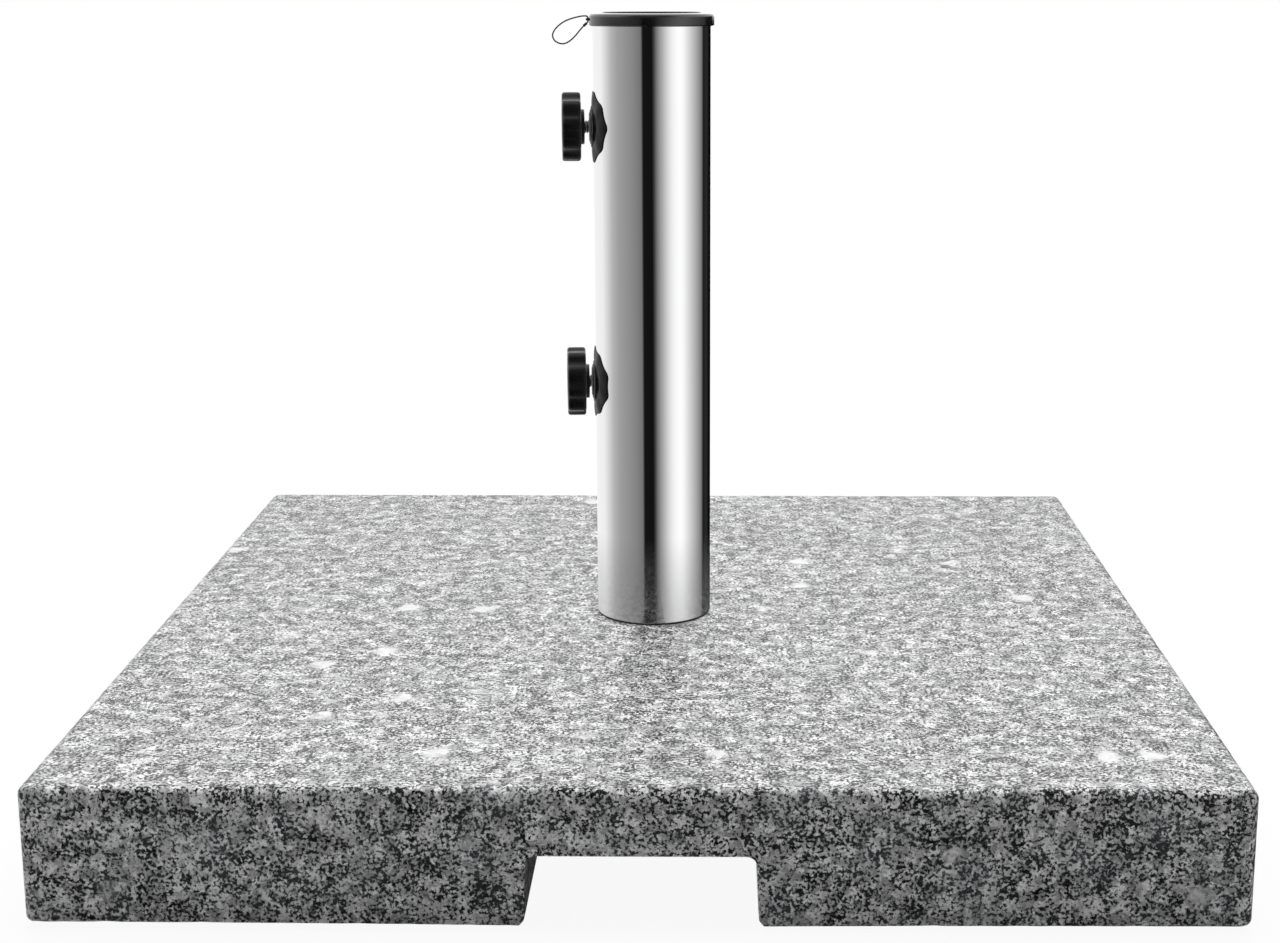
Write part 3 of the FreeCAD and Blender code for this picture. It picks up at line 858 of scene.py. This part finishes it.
def make_saddle(prefix, z, phase):
    """Rosette between knob and tube, flat at the boss and curved with the tube outside it."""
    plate = 26.9
    flats = 18  # last profile point that is at least partly flat

    def section(angle):
        rim = lobed_radius(angle, tip=16.2, valley=15.3, lobe_r=3.9, phase=phase)
        petal = 0.5 + 0.5 * math.cos(10 * (angle - phase))

        def petal_depth(r):  # petals swell between the boss and the edge
            u = max(0.0, min(1.0, (r - 9.3) / (rim - 9.3)))
            swell = math.sin(math.pi * min(1.0, u * 1.05)) ** 0.8
            return plate - 0.42 * u + (0.26 * petal - 0.08) * swell

        wave = 1.0 + 0.035 * (petal - 0.5)
        start, end = 9.5 * wave, rim - 0.55
        radii = [start + (end - start) * k / 7.0 for k in range(1, 8)]
        top = petal_depth(end)
        profile = [
            *SADDLE_RIM, *[(r * wave, depth) for r, depth in SADDLE_TERRACES],
            *[(r, petal_depth(r)) for r in radii],
            (rim - 0.30, top - 0.03), (rim - 0.12, top - 0.12), (rim - 0.03, top - 0.24),
            (rim, top - 0.34), (rim, 26.10), (rim - 0.06, 26.01),
            (rim - 1.5, 26.01), (10.0, 26.01), (5.52, 26.01), (5.52, SADDLE_FLOOR),
        ]
        points = []
        for i, (r, depth) in enumerate(profile):
            y = r * math.cos(angle)
            curved = math.sqrt(depth * depth - y * y)
            if i in (0, len(profile) - 1):
                x = SADDLE_FLOOR
            elif i <= flats:
                flat = min(1.0, 1.0 - (i - flats + 5) / 6.0)
                x = depth * flat + curved * (1 - flat)
            else:
                x = curved
            points.append((-x, y, z + r * math.sin(angle)))
        return points

    ob = ring_mesh(prefix + "_saddle_rosette", polar_rows(section), sharp=38)
    turn(ob)
    register(ob, "saddle", "base", prefix + "_saddle")


def make_screw(prefix, z, head_end, pad_outer):
    """M6 x 1.0 thread cut as a real helix; the head is a hexagon buried in the knob."""
    sides, pitch, major, depth = 40, 1.0, 2.95, 0.52

    def ring(radius, x):
        return [(-x, u, z + v) for u, v in circle(radius, sides)]

    start = head_end - HEAD_HEIGHT
    end = pad_outer + 0.02
    steps = int((start - end) / (pitch / 10))
    rows = [ring(0.1 * major, start)]
    for i in range(steps + 1):
        x = start + (end - start) * i / steps
        taper = min(1.0, (x - end) / 0.8)
        row = []
        for j in range(sides):
            angle = 2 * math.pi * j / sides
            groove = abs(2 * ((x / pitch + j / sides) % 1.0) - 1)
            groove = min(1.0, max(0.0, (groove - 0.06) / 0.80))
            r = major - depth * groove - 0.35 * (1 - taper)
            row.append((-x, r * math.cos(angle), z + r * math.sin(angle)))
        rows.append(row)
    # plain tip
    rows += [ring(1.95, end), ring(1.95, end - 1.0), ring(1.75, end - 1.2)]
    ob = ring_mesh(prefix + "_screw_thread", rows, closed=False, sharp=60)

    corners = [math.radians(60 * k + 90) for k in range(6)]
    head = [[(-x, r * math.cos(a), z + r * math.sin(a)) for a in corners]
            for x, r in ((head_end, 5.2), (head_end - 0.4, 5.77), (start, 5.77))]
    boolean(ob, ring_mesh("head", head, closed=False, sharp=10), "UNION")
    finish_mesh(ob, sharp=40)
    turn(ob)
    register(ob, "oxide", prefix + "_handle", prefix + "_screw")


# ------------------------------------------------------------ build the product
make_slab()
screw_z = {}
for prefix in ("upper", "lower"):
    lo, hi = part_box(prefix + "_pressure_pad")
    screw_z[prefix] = (lo.z + hi.z) / 2 / MM
make_tube(list(screw_z.values()))
make_collar()
cord = cord_path()
make_cord(cord)
make_crimp(cord)
# phases in degrees
for prefix, saddle_phase, knob_phase in (("upper", 0.0, 27.4), ("lower", 18.0, 9.0)):
    z = screw_z[prefix]
    knob_lo, knob_hi = own_box(prefix + "_knob")
    screw_end = -own_box(prefix + "_screw")[0].x / MM
    pad_outer = -own_box(prefix + "_pressure_pad")[0].x / MM
    make_knob(prefix, z, -knob_lo.x / MM, -knob_hi.x / MM, math.radians(knob_phase))
    make_saddle(prefix, z, math.radians(saddle_phase))
    make_screw(prefix, z, screw_end, pad_outer)

# CAD pieces that are kept as they are
for node, material in {
    "floor_glides": "rubber", "tube_gasket": "rubber", "tube_foot_disc": "plain",
    "fixing_bolt": "zinc", "spring_washer": "zinc", "bearing_washer": "zinc",
    "upper_thread_bush": "plain", "lower_thread_bush": "plain",
    "upper_pressure_pad": "nylon", "lower_pressure_pad": "nylon",
}.items():
    dress(nodes[node], material)

# pieces that do not mirror in the others
for name in ("floor_glides", "tube_gasket", "bearing_washer", "spring_washer", "fixing_bolt"):
    nodes[name].visible_glossy = False
for name in ("pull_cord_rope", "cord_crimp_ferrule", "upper_knob_grip", "lower_knob_grip",
             "upper_saddle_rosette", "lower_saddle_rosette", "upper_screw_thread",
             "lower_screw_thread"):
    bpy.data.objects[name].visible_glossy = False


# ------------------------------------------------------------ stage, light, camera
def make_floor():
    corners = ((-6000, -6000), (6000, -6000), (6000, 6000), (-6000, 6000))
    ob = new_object("floor", [(x, y, -0.2) for x, y in corners], [(0, 1, 2, 3)], smooth=False)
    mat, g, bsdf, output = new_material("floor")
    g.set(bsdf, {
        "Base Color": g.mix(g.range(g.noise(scale=3.0), span=(0.4, 0.6)),
                            (0.70, 0.70, 0.70), (0.73, 0.73, 0.73)),
        "Roughness": 0.9,
        "Specular IOR Level": 0.1,
    })
    glow = g.add("Emission", {"Color": (1, 1, 1), "Strength": 1.0})
    # the backdrop is white all the way; only the soft shadow close to the slab shows
    camera_ray = g.add("LightPath").outputs["Is Camera Ray"]
    away = g.radius(g.separate(g.coord))
    white = g.math("MULTIPLY", camera_ray,
                   g.range(away, span=(0.26, 0.60), to=(0.93, 1.0), smooth=True))
    surface = g.mix_shader(white, bsdf.outputs[0], glow.outputs[0])
    # seen from below the floor is not there, so the underside can be looked at
    clear = g.add("BsdfTransparent").outputs[0]
    behind = g.add("NewGeometry").outputs["Backfacing"]
    g.link(g.mix_shader(behind, surface, clear), output.inputs[0])
    ob.data.materials.append(mat)
    ob.visible_glossy = False


# What an upright mirror cylinder shows: (place across its width, -1 left to 1 right;
# grey as an sRGB level out of 255)
REFLECTIONS = [
    (-1.0, 240), (-0.86, 236), (-0.79, 214), (-0.69, 178), (-0.58, 156), (-0.48, 147),
    (-0.30, 130), (-0.19, 114), (-0.155, 20), (0.00, 17), (0.035, 60), (0.12, 142),
    (0.18, 172), (0.24, 201), (0.30, 224), (0.35, 238), (0.41, 247), (0.46, 252),
    (0.52, 247), (0.58, 228), (0.66, 200), (0.78, 152), (0.835, 122), (0.865, 28),
    (0.93, 40), (0.965, 10), (1.0, 8),
]


def srgb_to_linear(level):
    level = level / 255.0
    return level / 12.92 if level <= 0.04045 else ((level + 0.055) / 1.055) ** 2.4


def make_world():
    """Plain white light; polished metal mirrors a ring of soft boxes and dark flags."""
    world = bpy.data.worlds.new("studio")
    scene.world = world
    world.use_nodes = True
    tree = world.node_tree
    tree.nodes.clear()
    g = Graph(tree, coords="Generated")
    output = g.add("OutputWorld")
    flat = g.add("Background", {"Color": (1, 1, 1), "Strength": 0.085})
    backdrop = g.add("Background", {"Color": (1, 1, 1), "Strength": 1.0})
    at = g.separate(g.coord)
    # a mirrored direction turns twice as fast as the cylinder's surface, hence the half angle
    azimuth = g.math("ARCTAN2", at[0], g.math("MULTIPLY", at[1], -1.0))
    half_angle = g.math("MULTIPLY", g.math("SUBTRACT", azimuth, math.radians(1.73)), 0.5)
    across = g.math("SINE", half_angle)
    place = g.math("ADD", g.math("MULTIPLY", across, 0.5), 0.5)
    ring = g.ramp(place, [((p + 1) / 2, srgb_to_linear(level)) for p, level in REFLECTIONS])
    # the sky takes over from the ring overhead, and down to the horizon straight behind
    away = g.math("ABSOLUTE", azimuth)
    behind = g.math("MULTIPLY", g.range(away, span=(math.radians(150), math.radians(158))),
                    g.range(at[2], span=(0.0, 0.006)))
    up = g.math("MAXIMUM", g.range(at[2], span=(0.07, 0.22), smooth=True), behind)
    # a dark flag over the camera keeps the mouldings' shoulders black in front
    flag_span = (math.radians(30), math.radians(75))
    flag = g.math("MULTIPLY",
                  g.range(g.math("ABSOLUTE", azimuth), flag_span, to=(0.80, 0.0), smooth=True),
                  g.range(at[2], span=(0.93, 0.98), to=(1.0, 0.0), smooth=True))
    above = g.math("MULTIPLY", g.math("SUBTRACT", 1.0, flag), 1.2)
    sky = g.add("CombineXYZ", {0: above, 1: above, 2: above})
    mirrored = g.add("Background", {"Color": g.mix(up, ring, sky.outputs[0]), "Strength": 1.08})
    path = g.add("LightPath").outputs
    lighting = g.mix_shader(path["Is Glossy Ray"], flat.outputs[0], mirrored.outputs[0])
    surface = g.mix_shader(path["Is Camera Ray"], lighting, backdrop.outputs[0])
    g.link(surface, output.inputs[0])


def make_overhead_light():
    data = bpy.data.lights.new("overhead", "AREA")
    data.shape = "RECTANGLE"
    data.size = data.size_y = 1.8
    data.energy = 48.0
    ob = bpy.data.objects.new("overhead", data)
    scene.collection.objects.link(ob)
    location, target = Vector((0.0, 0.35, 1.5)), Vector((0, 0.05, 0.0))
    ob.location = location
    ob.rotation_euler = (target - location).to_track_quat("-Z", "Y").to_euler()
    ob.visible_glossy = False
    ob.visible_camera = False


def make_camera():
    data = bpy.data.cameras.new("camera")
    data.sensor_fit = "HORIZONTAL"
    data.sensor_width = 36.0
    data.lens = 58.07
    data.shift_x = -0.04297
    data.shift_y = -0.02852
    data.clip_start = 0.01
    data.clip_end = 50
    ob = bpy.data.objects.new("camera", data)
    scene.collection.objects.link(ob)
    yaw, pitch = math.radians(-0.5501), math.radians(12.0868)
    forward = Vector((math.sin(yaw) * math.cos(pitch), math.cos(yaw) * math.cos(pitch),
                      -math.sin(pitch)))
    right = Vector((math.cos(yaw), -math.sin(yaw), 0))
    matrix = Matrix((right, right.cross(forward), -forward)).transposed().to_4x4()
    matrix.translation = Vector((0.02797, -0.92518, 0.28110 + SLAB_TOP * MM))
    ob.matrix_world = matrix
    scene.camera = ob


make_floor()
make_world()
make_overhead_light()
make_camera()
